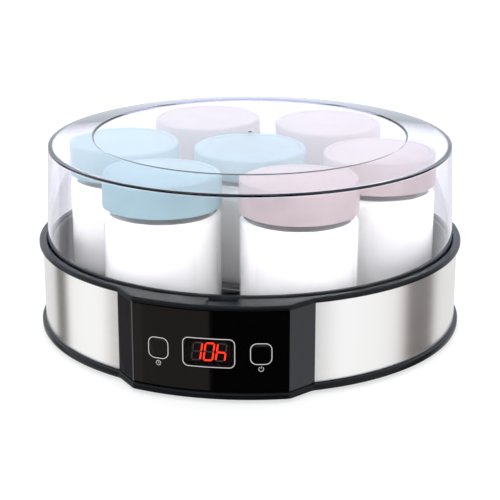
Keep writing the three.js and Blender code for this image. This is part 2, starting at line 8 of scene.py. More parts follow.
import bmesh
import bpy
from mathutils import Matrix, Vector


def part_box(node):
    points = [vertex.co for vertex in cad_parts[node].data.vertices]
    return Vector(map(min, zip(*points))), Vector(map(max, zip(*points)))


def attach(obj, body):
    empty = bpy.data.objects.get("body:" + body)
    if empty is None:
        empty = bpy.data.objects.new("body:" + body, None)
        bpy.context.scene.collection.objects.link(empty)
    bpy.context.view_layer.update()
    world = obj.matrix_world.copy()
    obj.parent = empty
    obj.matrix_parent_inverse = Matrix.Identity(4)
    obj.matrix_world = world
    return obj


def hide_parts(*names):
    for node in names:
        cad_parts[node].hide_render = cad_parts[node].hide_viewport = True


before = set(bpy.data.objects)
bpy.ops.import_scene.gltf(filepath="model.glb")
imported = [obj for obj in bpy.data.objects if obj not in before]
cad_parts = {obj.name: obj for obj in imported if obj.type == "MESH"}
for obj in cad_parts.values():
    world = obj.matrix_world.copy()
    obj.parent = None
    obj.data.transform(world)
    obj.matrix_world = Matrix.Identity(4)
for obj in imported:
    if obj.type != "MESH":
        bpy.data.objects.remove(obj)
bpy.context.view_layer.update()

MM = 0.001
CLEARANCE = 0.3
AROUND = 240  # steps round the large pieces
AROUND_JAR = 96
AROUND_PEG = 32
CAMERA_AZIMUTH = 9.5  # degrees from the front, towards +X

JARS = {
    "center": "cap_blue",
    "right": "cap_pink",
    "back_right": "cap_pink",
    "back_left": "cap_pink",
    "left": "cap_blue",
    "front_left": "cap_blue",
    "front_right": "cap_pink",
}


# ---- Sizes, read from the frame ----
def limits(node):
    """Lowest and highest corner of a CAD node, in millimetres."""
    low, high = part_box(node)
    return low / MM, high / MM


def middle(node):
    low, high = limits(node)
    return (low + high) / 2


def half_width(node):
    low, high = limits(node)
    return (high.x - low.x) / 2


def bottom(node):
    return limits(node)[0].z


def top(node):
    return limits(node)[1].z


AXIS = middle("jar_tray")
RIM_R = half_width("bottom_pan")
BAND_R = half_width("steel_band")
TRAY_FLANGE_R = half_width("jar_tray")
TRAY_WALL_R = TRAY_FLANGE_R - 2.9
LID_R = half_width("clear_lid")
JAR_R = half_width("jar_center")
CAP_R = half_width("cap_center")
PANEL_R = AXIS.y - limits("control_fascia")[0].y
BAY_RIM_R = AXIS.y - limits("housing_ring")[0].y

BAND_THICKNESS = 0.5
WALL = 2
SKIRT_OUT = BAND_R - BAND_THICKNESS - CLEARANCE
SKIRT_IN = SKIRT_OUT - WALL
SHELL_BOTTOM = bottom("steel_band")
SHELL_TOP = top("steel_band")
UPPER_RIM_BOTTOM = SHELL_TOP + CLEARANCE
UPPER_RIM_TOP = top("housing_ring")
LOWER_RIM_BOTTOM = bottom("bottom_pan")
LOWER_RIM_TOP = SHELL_BOTTOM - CLEARANCE
PAN_FLOOR = LOWER_RIM_BOTTOM + 1.2
COLLAR_TOP = top("jar_tray")
GROOVE_OUT = LID_R + 0.5
GROOVE_FLOOR = bottom("clear_lid") - CLEARANCE
FLANGE_BOTTOM = GROOVE_FLOOR - WALL
JAR_BOTTOM = bottom("jar_center")
WELL_FLOOR = JAR_BOTTOM - CLEARANCE
DECK_TOP = WELL_FLOOR + 1
DECK_UNDER = top("heater_plate") + CLEARANCE

# The control bay's corners in plan, and the angle at which its cheeks run back to the band.
CHEEK_ROOT = Vector((half_width("panel_frame"), AXIS.y - limits("panel_frame")[1].y))
FASCIA_HALF_DEG = math.degrees(math.asin(half_width("control_fascia") / PANEL_R))
PANEL_HALF_DEG = FASCIA_HALF_DEG + 0.3
CONTROLS_Z = middle("display_lens").z
FRAME_FRONT_R = PANEL_R - 1.3


# ---- Outlines ----
def filleted(corners, steps=5):
    """A closed outline from (x, y) corners, or (x, y, radius) where the corner is rounded."""
    points = []
    for i, corner in enumerate(corners):
        here = Vector(corner[:2])
        if len(corner) == 2:
            points.append(tuple(here))
            continue
        radius = corner[2]
        to_last = (Vector(corners[i - 1][:2]) - here).normalized()
        to_next = (Vector(corners[(i + 1) % len(corners)][:2]) - here).normalized()
        half = to_last.angle(to_next) / 2
        centre = here + (to_last + to_next).normalized() * radius / math.sin(half)
        start = here + to_last * radius / math.tan(half) - centre
        end = here + to_next * radius / math.tan(half) - centre
        turn = start.angle(end)
        for k in range(steps + 1):
            share = k / steps
            spoke = start * math.sin((1 - share) * turn) + end * math.sin(share * turn)
            points.append(tuple(centre + spoke / math.sin(turn)))
    return points


def rounded_rectangle(width, height, corner, steps=6):
    x, y = width / 2, height / 2
    return filleted([(x, -y, corner), (x, y, corner), (-x, y, corner), (-x, -y, corner)], steps)


def subdivided(path, longest=1):
    """A closed path with no step longer than a limit."""
    points = []
    for i, start in enumerate(path):
        start, end = Vector(start), Vector(path[(i + 1) % len(path)])
        count = max(1, math.ceil((end - start).length / longest))
        points += [tuple(start.lerp(end, k / count)) for k in range(count)]
    return points


def circle(radius, count, centre=(0, 0)):
    turns = [2 * math.pi * k / count for k in range(count)]
    return [(centre[0] + radius * math.cos(t), centre[1] + radius * math.sin(t)) for t in turns]


# ---- Meshes ----
ON_AXIS = 1e-6  # a radius below this is on the axis
SHARP_DEG = 32  # steeper edges than this are shaded sharp


def at_angle(radius, degrees, height):
    """The place at a distance from the round axis, an angle from the front and a height."""
    turn = math.radians(degrees)
    return Vector((AXIS.x + radius * math.sin(turn), AXIS.y - radius * math.cos(turn), height))


def mesh_object(name, points, faces, sharp_angle=SHARP_DEG):
    """A smooth-shaded closed mesh with its normals outwards; the points are in millimetres."""
    shape = bmesh.new()
    vertices = [shape.verts.new(Vector(p) * MM) for p in points]
    for face in faces:
        shape.faces.new([vertices[i] for i in face])
    bmesh.ops.remove_doubles(shape, verts=shape.verts, dist=1e-7)
    bmesh.ops.recalc_face_normals(shape, faces=shape.faces)
    mesh = bpy.data.meshes.new(name)
    shape.to_mesh(mesh)
    shape.free()
    piece = bpy.data.objects.new(name, mesh)
    bpy.context.scene.collection.objects.link(piece)
    smooth(piece, sharp_angle)
    return piece


def smooth(piece, sharp_angle=SHARP_DEG):
    piece.data.polygons.foreach_set("use_smooth", [True] * len(piece.data.polygons))
    piece.data.set_sharp_from_angle(angle=math.radians(sharp_angle))


def skin(name, rings, closed=False):
    """Joins rings of equally many points into one closed solid, with flat ends unless closed."""
    size = len(rings[0])
    points = [point for ring in rings for point in ring]
    last = len(rings) if closed else len(rings) - 1
    faces = []
    for i in range(last):
        j = (i + 1) % len(rings)
        for k in range(size):
            n = (k + 1) % size
            faces.append([i * size + k, j * size + k, j * size + n, i * size + n])
    if not closed:
        faces.append(list(range(size)))
        faces.append([(len(rings) - 1) * size + k for k in reversed(range(size))])
    return mesh_object(name, points, faces)


def held_flat(outline, reach=0.4):
    """Adds points near the ends of long straight runs, so that smooth shading leaves them flat."""
    points = []
    for i, start in enumerate(outline):
        start, end = Vector(start), Vector(outline[(i + 1) % len(outline)])
        points.append(tuple(start))
        length = (end - start).length
        if length > 6 * reach and max(start.x, end.x) > ON_AXIS:
            share = reach / length
            points += [tuple(start.lerp(end, share)), tuple(start.lerp(end, 1 - share))]
    return points


def lathe(name, outline, steps=AROUND, centre=AXIS, sharp_angle=SHARP_DEG):
    """A solid turned round an upright axis; an outline that touches the axis closes there."""
    points, rings = [], []
    for radius, height in held_flat(outline):
        if radius < ON_AXIS:
            rings.append([len(points)])
            points.append((centre.x, centre.y, height))
            continue
        rings.append(list(range(len(points), len(points) + steps)))
        for x, y in circle(radius, steps, (centre.x, centre.y)):
            points.append((x, y, height))
    faces = []
    for i, ring in enumerate(rings):
        following = rings[(i + 1) % len(rings)]
        if len(ring) == 1 and len(following) == 1:
            continue
        for k in range(steps):
            n = (k + 1) % steps
            corners = [ring[k % len(ring)], following[k % len(following)]]
            corners += [following[n % len(following)], ring[n % len(ring)]]
            faces.append(list(dict.fromkeys(corners)))
    return mesh_object(name, points, faces, sharp_angle)


def swept(name, angles, section, closed=False):
    """A solid whose section changes with the angle round the axis."""
    rings = [[at_angle(r, angle, z) for r, z in section(angle)] for angle in angles]
    return skin(name, rings, closed)


def extruded(name, outline, place, near, far):
    """A flat outline pushed from near to far by place(u, v, depth)."""
    rings = [[place(u, v, depth) for u, v in outline] for depth in (near, far)]
    return skin(name, rings)


def on_panel(degrees=0, height=None):
    """Places (u, v, distance) on a plane across the control panel at an angle."""
    turn = math.radians(degrees)
    side = Vector((math.cos(turn), math.sin(turn), 0))
    out = Vector((math.sin(turn), -math.cos(turn), 0))
    origin = Vector((AXIS.x, AXIS.y, CONTROLS_Z if height is None else height))
    return lambda u, v, distance: origin + side * u + out * distance + Vector((0, 0, v))


def wrapped(degrees=0, height=None):
    """Places (u, v, distance) on a cylinder round the axis, with u measured along the panel."""
    middle_height = CONTROLS_Z if height is None else height
    return lambda u, v, distance: at_angle(
        distance, degrees + math.degrees(u / PANEL_R), middle_height + v
    )


def line(name, path, width, place, near, far, closed=True):
    """A printed line of one width along a path, as a thin solid."""
    rings = []
    count = len(path)
    for i, point in enumerate(path):
        here = Vector(point)
        last = Vector(path[i - 1]) if closed or i > 0 else here
        following = Vector(path[(i + 1) % count]) if closed or i < count - 1 else here
        along = (following - last).normalized()
        across = Vector((-along.y, along.x)) * width / 2
        left, right = here + across, here - across
        corners = ((left, near), (right, near), (right, far), (left, far))
        rings.append([place(*side, depth) for side, depth in corners])
    return skin(name, rings, closed)


def joined(name, pieces):
    """One piece from several that overlap or stand apart."""
    shape = bmesh.new()
    for piece in pieces:
        shape.from_mesh(piece.data)
    shape.to_mesh(pieces[0].data)
    shape.free()
    for piece in pieces[1:]:
        bpy.data.objects.remove(piece)
    pieces[0].name = name
    smooth(pieces[0])
    return pieces[0]


def applied(piece):
    """Bakes a piece's modifiers into its mesh."""
    graph = bpy.context.evaluated_depsgraph_get()
    mesh = bpy.data.meshes.new_from_object(piece.evaluated_get(graph))
    piece.modifiers.clear()
    piece.data = mesh
    smooth(piece)


def carved(piece, cutters, operation="DIFFERENCE"):
    """Cuts pieces out of a piece, or keeps what it shares with them."""
    cutter = joined("cutter", cutters) if len(cutters) > 1 else cutters[0]
    boolean = piece.modifiers.new("boolean", "BOOLEAN")
    boolean.operation = operation
    boolean.solver = "EXACT"
    boolean.object = cutter
    applied(piece)
    bpy.data.objects.remove(cutter)


def bevelled(piece, width):
    bevel = piece.modifiers.new("bevel", "BEVEL")
    bevel.width = width * MM
    bevel.segments = 3
    bevel.limit_method = "ANGLE"
    bevel.angle_limit = math.radians(40)
    applied(piece)


# ---- Materials ----
class Surface:
    """A procedural material: a Principled shader, and the nodes that vary it."""

    def __init__(self, name, color, **sockets):
        self.material = bpy.data.materials.new(name)
        self.material.use_nodes = True
        self.nodes = self.material.node_tree.nodes
        self.links = self.material.node_tree.links
        self.shader = self.nodes["Principled BSDF"]
        self.shader.inputs["Base Color"].default_value = (*color, 1)
        for socket, value in sockets.items():
            self.shader.inputs[socket.replace("_", " ")].default_value = value
        self.color = color
        self.place = self.add("ShaderNodeTexCoord").outputs["Object"]

    def add(self, kind, **values):
        node = self.nodes.new(kind)
        for key, value in values.items():
            setattr(node, key, value)
        return node

    def link(self, source, target):
        self.links.new(source, target)

    def noise(self, per_metre, detail=3, stretch=(1, 1, 1)):
        """Noise whose features measure about 1 / per_metre."""
        mapping = self.add("ShaderNodeMapping")
        mapping.inputs["Scale"].default_value = [per_metre * s for s in stretch]
        noise = self.add("ShaderNodeTexNoise")
        noise.inputs["Scale"].default_value = 1
        noise.inputs["Detail"].default_value = detail
        self.link(self.place, mapping.inputs["Vector"])
        self.link(mapping.outputs["Vector"], noise.inputs["Vector"])
        return noise.outputs["Fac"]

    def ranged(self, source, low, high):
        """A noise spread over a range."""
        node = self.add("ShaderNodeMapRange")
        node.inputs["From Min"].default_value = 0.3
        node.inputs["From Max"].default_value = 0.7
        node.inputs["To Min"].default_value = low
        node.inputs["To Max"].default_value = high
        self.link(source, node.inputs["Value"])
        return node.outputs["Result"]

    def varied_roughness(self, source, low, high):
        self.link(self.ranged(source, low, high), self.shader.inputs["Roughness"])

    def varied_color(self, source, amount):
        """The colour, darker and lighter by a share of itself."""
        ramp = self.add("ShaderNodeValToRGB")
        for element, factor in zip(ramp.color_ramp.elements, (1 - amount, 1 + amount)):
            element.color = (*[min(1, c * factor) for c in self.color], 1)
        ramp.color_ramp.elements[0].position = 0.3
        ramp.color_ramp.elements[1].position = 0.7
        self.link(source, ramp.inputs["Fac"])
        self.link(ramp.outputs["Color"], self.shader.inputs["Base Color"])

    def bump(self, source, height, strength=1.0):
        """Relief of a height in millimetres."""
        node = self.add("ShaderNodeBump")
        node.inputs["Distance"].default_value = height * MM
        node.inputs["Strength"].default_value = strength
        self.link(source, node.inputs["Height"])
        self.link(node.outputs["Normal"], self.shader.inputs["Normal"])


def moulded(name, color, low, high, grain=0.006, **sockets):
    """Injection-moulded plastic: faint flow marks, fine grain and uneven gloss."""
    surface = Surface(name, color, **sockets)
    surface.varied_color(surface.noise(60), 0.05)
    surface.varied_roughness(surface.noise(180), low, high)
    surface.bump(surface.noise(2600, 2), grain, 0.4)
    return surface.material


def clear_plastic():
    """Polished acrylic, faintly violet where it is seen edge on."""
    surface = Surface("lid_clear", (0.985, 0.985, 0.995), IOR=1.49, Transmission_Weight=1)
    edge_tint = surface.add("ShaderNodeVolumeAbsorption")
    edge_tint.inputs["Color"].default_value = (0.4, 0.4, 0.75, 1)
    edge_tint.inputs["Density"].default_value = 40
    surface.link(edge_tint.outputs["Volume"], surface.nodes["Material Output"].inputs["Volume"])
    surface.varied_roughness(surface.noise(90), 0.0, 0.012)
    surface.bump(surface.noise(16, 1), 0.05, 0.35)
    return surface.material


def jar_glass():
    surface = Surface("jar_glass", (0.985, 0.992, 0.985), IOR=1.5, Transmission_Weight=1)
    surface.varied_roughness(surface.noise(120), 0.0, 0.015)
    surface.bump(surface.noise(70, 2), 0.06, 0.5)
    return surface.material


def yogurt():
    surface = Surface("yogurt_white", (0.95, 0.945, 0.93), Specular_IOR_Level=0.4)
    surface.varied_color(surface.noise(140), 0.015)
    surface.varied_roughness(surface.noise(300), 0.3, 0.5)
    surface.bump(surface.noise(220, 3), 0.12, 0.5)
    return surface.material


def brushed_steel():
    """Steel brushed along the band, so its reflections spread up and down."""
    surface = Surface(
        "band_steel", (0.95, 0.94, 0.925), Metallic=1, Anisotropic=0.85, Anisotropic_Rotation=0.25
    )
    lines = surface.noise(1, 4, stretch=(14, 14, 5200))
    surface.varied_color(lines, 0.01)
    surface.varied_roughness(lines, 0.2, 0.25)
    surface.bump(lines, 0.0006, 0.2)
    tangent = surface.add("ShaderNodeTangent", direction_type="RADIAL", axis="Z")
    surface.link(tangent.outputs["Tangent"], surface.shader.inputs["Tangent"])
    return surface.material


def gloss_black(name, color, roughness):
    """Polished plastic with a trace of handling in its gloss."""
    surface = Surface(name, color, IOR=1.5)
    surface.varied_roughness(surface.noise(40, 4), roughness, roughness + 0.03)
    surface.varied_color(surface.noise(25), 0.06)
    surface.bump(surface.noise(30, 1), 0.01, 0.3)
    return surface.material


def smoked_lens():
    surface = Surface("lens_smoke", (0.4, 0.35, 0.35), IOR=1.12, Transmission_Weight=1)
    surface.varied_roughness(surface.noise(60), 0.0, 0.02)
    return surface.material


def glowing(name, color, strength):
    """A lit segment, its glow a little uneven from place to place."""
    surface = Surface(name, color, Emission_Color=(*color, 1), Roughness=0.5)
    glow = surface.ranged(surface.noise(900), strength * 0.85, strength * 1.15)
    surface.link(glow, surface.shader.inputs["Emission Strength"])
    return surface.material


def metal(name, color, low, high, stretch=(1, 1, 1), scratches=900):
    """Plain metal with machining or rolling marks."""
    surface = Surface(name, color, Metallic=1)
    marks = surface.noise(scratches, 3, stretch)
    surface.varied_color(marks, 0.06)
    surface.varied_roughness(marks, low, high)
    surface.bump(marks, 0.01, 0.3)
    return surface.material


def circuit_board():
    """Green solder mask with lighter copper runs under it."""
    surface = Surface("board_green", (0.012, 0.09, 0.035))
    runs = surface.add("ShaderNodeTexVoronoi", distance="MANHATTAN", feature="F1")
    runs.inputs["Scale"].default_value = 160
    surface.link(surface.place, runs.inputs["Vector"])
    surface.varied_color(runs.outputs["Distance"], 0.35)
    surface.varied_roughness(surface.noise(400), 0.3, 0.45)
    surface.bump(runs.outputs["Distance"], 0.03, 0.4)
    return surface.material


def ribbon():
    """Grey flat cable, ribbed by its ten cores."""
    surface = Surface("ribbon_grey", (0.27, 0.28, 0.3))
    ribs = surface.add("ShaderNodeTexWave", bands_direction="X", wave_profile="SIN")
    ribs.inputs["Scale"].default_value = 225
    surface.link(surface.place, ribs.inputs["Vector"])
    surface.bump(ribs.outputs["Fac"], 0.2, 0.8)
    surface.varied_roughness(surface.noise(300), 0.5, 0.65)
    return surface.material


SATIN = {"Specular_IOR_Level": 0.3}
DARK_SATIN = {"Specular_IOR_Level": 0.15}

MATERIALS = {
    "lid_clear": clear_plastic(),
    "jar_glass": jar_glass(),
    "yogurt_white": yogurt(),
    "cap_blue": moulded("cap_blue", (0.57, 0.83, 0.87), 0.35, 0.45, **SATIN),
    "cap_pink": moulded("cap_pink", (0.96, 0.79, 0.76), 0.35, 0.45, **SATIN),
    "rim_black": moulded("rim_black", (0.004, 0.005, 0.006), 0.16, 0.22, 0.001, **DARK_SATIN),
    "tray_black": moulded("tray_black", (0.02, 0.0215, 0.023), 0.3, 0.4, **SATIN),
    "band_steel": brushed_steel(),
    "bay_grey": gloss_black("bay_grey", (0.006, 0.007, 0.011), 0.1),
    "fascia_black": gloss_black("fascia_black", (0.0013, 0.001, 0.001), 0.02),
    "lens_smoke": smoked_lens(),
    "print_white": moulded("print_white", (0.54, 0.52, 0.5), 0.5, 0.6),
    "digit_red": glowing("digit_red", (1.0, 0.035, 0.01), 4.8),
    "digit_off": moulded("digit_off", (0.22, 0.23, 0.23), 0.5, 0.6),
    "rubber_black": moulded("rubber_black", (0.02, 0.02, 0.02), 0.75, 0.9, 0.02),
    "screw_steel": metal("screw_steel", (0.62, 0.62, 0.63), 0.28, 0.42),
    "heater_aluminium": metal("heater_aluminium", (0.72, 0.73, 0.75), 0.3, 0.48, (1, 0.05, 1)),
    "board_green": circuit_board(),
    "component_black": moulded("component_black", (0.013, 0.013, 0.0145), 0.4, 0.55, **SATIN),
    "relay_blue": moulded("relay_blue", (0.03, 0.13, 0.42), 0.35, 0.5),
    "ceramic_cream": moulded("ceramic_cream", (0.78, 0.73, 0.6), 0.5, 0.7, 0.01),
    "wire_red": moulded("wire_red", (0.42, 0.015, 0.012), 0.4, 0.55),
    "ribbon_grey": ribbon(),
}


def finished(piece, body, slot, *nodes):
    """Gives a piece its material, its slot and the body that it rides on."""
    piece.data.materials.clear()
    piece.data.materials.append(MATERIALS[slot])
    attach(piece, body)
    if nodes:
        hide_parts(*nodes)


# ---- Plan of the control bay ----
def bay_reach(degrees, face, base, overhang=0):
    """Distance of the bay's outline from the axis: its face, its flat cheeks, or the base."""
    corner = Vector(
        (
            PANEL_R * math.sin(math.radians(PANEL_HALF_DEG)),
            PANEL_R * math.cos(math.radians(PANEL_HALF_DEG)),
        )
    )
    along = (CHEEK_ROOT - corner).normalized()
    normal = Vector((-along.y, along.x))
    if normal.dot(corner) < 0:
        normal.negate()
    lean = math.atan2(normal.x, normal.y)
    turn = lean - abs(math.radians(degrees))
    if turn <= 0:
        return base
    return min(face, max(base, (normal.dot(corner) + overhang) / math.cos(turn)))


def softened(reach, blend=0.45):
    """An outline whose corners are rounded by averaging it over a few tenths of a degree."""
    shifts = [blend * k / 3 for k in range(-3, 4)]
    return lambda degrees: sum(reach(degrees + shift) for shift in shifts) / len(shifts)


def angles_between(start, end, step, marks=()):
    """Even steps between two angles, with closer ones about the marks."""
    count = max(1, round((end - start) / step))
    steps = [start + (end - start) * k / count for k in range(count + 1)]
    for mark in marks:
        steps += [mark + 0.15 * k for k in range(-6, 7) if start < mark + 0.15 * k < end]
    return sorted(set(round(s, 4) for s in steps))


CHEEK_ROOT_DEG = math.degrees(math.atan2(CHEEK_ROOT.x, CHEEK_ROOT.y))
CORNER_DEGREES = [
    side * degrees for side in (-1, 1) for degrees in (PANEL_HALF_DEG - 0.4, CHEEK_ROOT_DEG - 1.2)
]
FULL_CIRCLE = angles_between(-180, 180 - 360 / AROUND, 360 / AROUND, CORNER_DEGREES)
BAY_OPENING_DEG = CHEEK_ROOT_DEG - 2.3
bay_rim = softened(lambda degrees: bay_reach(degrees, BAY_RIM_R, RIM_R, 1))


def with_jumps(angles, marks, half_gap=0.02):
    """The angles, with a narrow pair about each mark where the section changes at once."""
    jumps = {mark + shift for mark in marks for shift in (-half_gap, half_gap)}
    return sorted(set(angles) | jumps)


# ---- Lid, jars and caps ----
def clear_lid():
    foot, ceiling = bottom("clear_lid"), top("clear_lid")
    shoulder_r, shoulder = LID_R - 2.4, ceiling - 4.6
    crest_r, crest = LID_R - 28, ceiling - 0.6
    wall, top_wall = 2.5, 2
    outline = filleted(
        [
            (LID_R - 2, foot, 0.4),
            (LID_R, foot, 0.5),
            (shoulder_r, shoulder, 0.7),
            (crest_r, crest, 0.35),
            (crest_r - 0.9, crest - 0.8, 0.3),
            (0, ceiling),
            (0, ceiling - top_wall),
            (crest_r, crest - top_wall, 2),
            (shoulder_r - wall, shoulder - 2.1, 0.5),
        ]
    )
    finished(lathe("lid_shell", outline, sharp_angle=40), "lid", "lid_clear", "clear_lid")

    under, over = ceiling - 0.05, ceiling + 0.15
    gate = lathe("lid_gate", [(0, under), (1.1, under), (0.9, over), (0, over)], 24)
    finished(gate, "lid", "component_black")


def jar(name):
    centre = middle(f"jar_{name}")
    base, rim = JAR_BOTTOM, top(f"jar_{name}")
    shoulder, floor = bottom(f"cap_{name}") - 5.5, base + 4
    neck, glass = JAR_R - 2.8, 2.5
    outline = filleted(
        [
            (0, base + 0.9),
            (JAR_R - 9, base + 0.9, 2),
            (JAR_R - 6, base, 0.8),
            (JAR_R, base, 2.2),
            (JAR_R, shoulder, 2.4),
            (neck, shoulder + 4, 1.2),
            (neck, rim, 0.9),
            (neck - glass, rim, 0.9),
            (neck - glass, shoulder + 3.4, 1.2),
            (JAR_R - glass, shoulder - 1, 2.4),
            (JAR_R - glass, floor, 4),
            (0, floor),
        ]
    )
    body = f"jar_{name}"
    finished(lathe(f"jar_glass_{name}", outline, AROUND_JAR, centre, 40), body, "jar_glass", body)

    into_glass = 0.15
    wall = JAR_R - glass + into_glass
    level = shoulder + 0.6
    filling = filleted(
        [
            (0, floor - into_glass),
            (wall, floor - into_glass, 4),
            (wall, shoulder - 1, 2.4),
            (wall - 1.4, level + 0.6),
            (wall - 1.8, level + 0.45, 0.2),
            (wall - 3.6, level - 0.6, 1.5),
            (0, level - 0.8),
        ]
    )
    piece = lathe(f"yogurt_{name}", filling, AROUND_JAR, centre, 60)
    finished(piece, body, "yogurt_white")


def jar_cap(name, slot):
    centre = middle(f"cap_{name}")
    foot, crown = bottom(f"cap_{name}"), top(f"cap_{name}")
    bore = CAP_R - 2.3
    outline = filleted(
        [
            (0, crown - 1.8),
            (bore, crown - 1.8, 1),
            (bore, foot, 0.3),
            (CAP_R, foot, 0.5),
            (CAP_R - 0.15, crown, 1.5),
            (CAP_R - 3.4, crown, 0.3),
            (CAP_R - 3.7, crown - 0.45, 0.3),
            (0, crown - 0.45),
        ]
    )
    body = f"cap_{name}"
    finished(lathe(f"cap_shell_{name}", outline, AROUND_JAR, centre), body, slot, body)


# ---- Base ----
def round_at(name, node, radius, low, high):
    outline = [(0, low), (radius, low), (radius, high), (0, high)]
    return lathe(name, outline, AROUND_PEG, middle(node))


def jar_tray():
    floor_r = TRAY_WALL_R - 3
    collar_r = LID_R - 3
    outline = filleted(
        [
            (0, DECK_UNDER),
            (TRAY_WALL_R, DECK_UNDER, 1.5),
            (TRAY_WALL_R, FLANGE_BOTTOM, 0.8),
            (TRAY_FLANGE_R, FLANGE_BOTTOM, 0.3),
            (TRAY_FLANGE_R, GROOVE_FLOOR, 0.3),
            (collar_r, GROOVE_FLOOR, 0.4),
            (collar_r, COLLAR_TOP, 0.6),
            (floor_r + 1.2, COLLAR_TOP, 0.8),
            (floor_r, DECK_TOP, 3),
            (0, DECK_TOP),
        ]
    )
    tray = lathe("tray_moulding", outline)
    well = filleted(
        [
            (0, WELL_FLOOR),
            (JAR_R + 1, WELL_FLOOR, 0.5),
            (JAR_R + 1, DECK_TOP - 0.4),
            (JAR_R + 1.8, DECK_TOP + 0.4),
            (0, DECK_TOP + 0.4),
        ]
    )
    carved(tray, [lathe("well", well, AROUND_JAR, middle(f"jar_{name}")) for name in JARS])
    foot, plate, deck = bottom("jar_tray"), bottom("heater_plate"), DECK_UNDER + 1
    posts = [round_at("post", f"housing_screw_{n}", 3.6, foot, deck) for n in range(1, 5)]
    posts += [round_at("boss", f"heater_screw_{n}", 3.2, plate, deck) for n in range(1, 4)]
    finished(joined("tray_moulding", [tray, *posts]), "base", "tray_black", "jar_tray")


def housing():
    """The upper rim with the bay's top, and the skirt behind the band."""
    window_deg = 9  # half of the gap at the back, which the outlet plate fills
    window_top = top("outlet_plate") - 3
    thumb_deg, thumb_half_deg, thumb_depth = 2.8, 3.65, 1.5
    ledge_top = FLANGE_BOTTOM - CLEARANCE
    ledge_r = TRAY_WALL_R + 2 * CLEARANCE

    def section(degrees):
        out = bay_rim(degrees)
        foot = SHELL_BOTTOM
        if abs(degrees) < BAY_OPENING_DEG:
            foot = ledge_top - 4
        if 180 - abs(degrees) < window_deg:
            foot = window_top
        sunk = thumb_depth if abs(degrees - thumb_deg) < thumb_half_deg else 0
        lip = out - 1.7
        return [
            (SKIRT_IN, foot),
            (SKIRT_OUT, foot),
            (SKIRT_OUT, UPPER_RIM_BOTTOM),
            (out - 0.5, UPPER_RIM_BOTTOM),
            (out - 0.15, UPPER_RIM_BOTTOM + 0.15),
            (out, UPPER_RIM_BOTTOM + 0.5),
            (out, UPPER_RIM_TOP - 0.9),
            (out - 0.2, UPPER_RIM_TOP - 0.4),
            (out - 0.5, UPPER_RIM_TOP - 0.12),
            (out - 0.9, UPPER_RIM_TOP),
            (lip, UPPER_RIM_TOP),
            (lip - 0.05, UPPER_RIM_TOP - sunk * 0.8 - 0.05),
            (lip - 0.35, UPPER_RIM_TOP - sunk - 0.05 * (sunk == 0)),
            (GROOVE_OUT + 0.25, UPPER_RIM_TOP - sunk),
            (GROOVE_OUT, UPPER_RIM_TOP - sunk - 0.25),
            (GROOVE_OUT, GROOVE_FLOOR),
            (SKIRT_IN, GROOVE_FLOOR),
            (SKIRT_IN, ledge_top),
            (ledge_r, ledge_top),
            (ledge_r, ledge_top - 1.6),
            (SKIRT_IN, ledge_top - 3.6),
        ]

    marks = [BAY_OPENING_DEG, -BAY_OPENING_DEG, 180 - window_deg, window_deg - 180]
    marks += [thumb_deg - thumb_half_deg, thumb_deg + thumb_half_deg]
    shell = swept("housing_shell", with_jumps(FULL_CIRCLE, marks), section, closed=True)
    finished(shell, "base", "rim_black", "housing_ring")


def bottom_pan():
    """The lower rim and the floor, with its vents, screw holes and foot holes."""
    low, high, floor = LOWER_RIM_BOTTOM, LOWER_RIM_TOP, PAN_FLOOR
    upstand_r = SKIRT_IN - CLEARANCE
    upstand_top = floor + 8.8
    over_floor = floor + WALL + 1

    def section(degrees):
        out = bay_rim(degrees)
        upstand = high if abs(degrees) < BAY_OPENING_DEG else upstand_top
        return [
            (0, floor),
            (RIM_R - 5, floor),
            (RIM_R - 4.4, low),
            (out - 0.9, low),
            (out - 0.3, low + 0.25),
            (out, low + 0.8),
            (out, high - 0.6),
            (out - 0.15, high - 0.2),
            (out - 0.5, high),
            (upstand_r, high),
            (upstand_r, upstand),
            (upstand_r - 1.7, upstand),
            (upstand_r - 1.7, floor + WALL),
            (0, floor + WALL),
        ]

    angles = with_jumps(FULL_CIRCLE, (BAY_OPENING_DEG, -BAY_OPENING_DEG))
    pan = swept("pan_moulding", angles, section, closed=True)
    cutters = []
    for x in (-36, -27, -18, 18, 27, 36):
        slot = rounded_rectangle(3, 26, 1.4)
        rise = lambda u, v, depth, x=x: Vector((AXIS.x + x + u, AXIS.y - 40 + v, depth))
        cutters.append(extruded("vent", slot, rise, 0, over_floor))
    for n in range(1, 5):
        cutters.append(round_at("peg_hole", f"foot_{n}", 2.3, 0, over_floor))
    hole = [(0, 0), (3.8, 0), (3.4, floor + 0.4), (3.4, over_floor), (0, over_floor)]
    for n in range(1, 5):
        cutters.append(lathe("screw_hole", hole, AROUND_PEG, middle(f"housing_screw_{n}")))
    carved(pan, cutters)
    foot, seat, post_top = floor + 1, 9, bottom("jar_tray") - CLEARANCE
    tube = [(3.4, foot), (5.2, foot), (5.2, post_top), (1.8, post_top), (1.8, seat), (3.4, seat)]
    bosses = [lathe("boss", tube, AROUND_PEG, middle(f"housing_screw_{n}")) for n in range(1, 5)]
    board = bottom("power_board") - CLEARANCE
    standoffs = [
        round_at("standoff", f"power_board_screw_{n}", 3.2, foot, board) for n in (1, 2)
    ]
    finished(joined("pan_moulding", [pan, *bosses, *standoffs]), "base", "rim_black", "bottom_pan")


